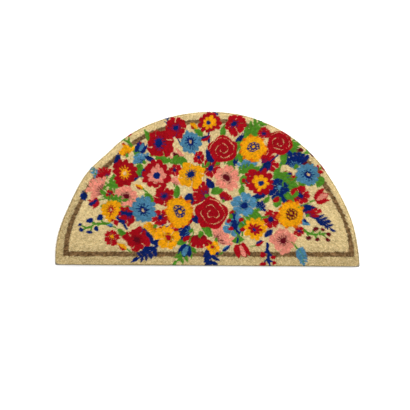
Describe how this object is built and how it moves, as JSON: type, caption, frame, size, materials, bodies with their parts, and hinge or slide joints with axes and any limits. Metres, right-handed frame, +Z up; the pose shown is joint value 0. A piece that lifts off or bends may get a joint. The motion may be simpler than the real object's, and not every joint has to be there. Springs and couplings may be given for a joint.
{
  "type": "half-round coir doormat",
  "caption": "Half-round doormat: a bed of short upright coir bristles with a dyed floral print, on a thin vinyl backing, laid flat at a door.",
  "frame": {"origin": "middle of the mat's box, at floor level", "axes": "+X along the straight edge, +Y from the straight edge towards the curved edge, +Z up out of the bristles"},
  "size_m": [0.7498, 0.38, 0.015],
  "materials": {
    "coir": "natural coir bristles with dyed tips, coarse and matte",
    "backing": "matte flexible vinyl sheet"
  },
  "bodies": {
    "root": {"coir_pile": "coir", "pvc_backing": "backing"}
  },
  "joints": []
}
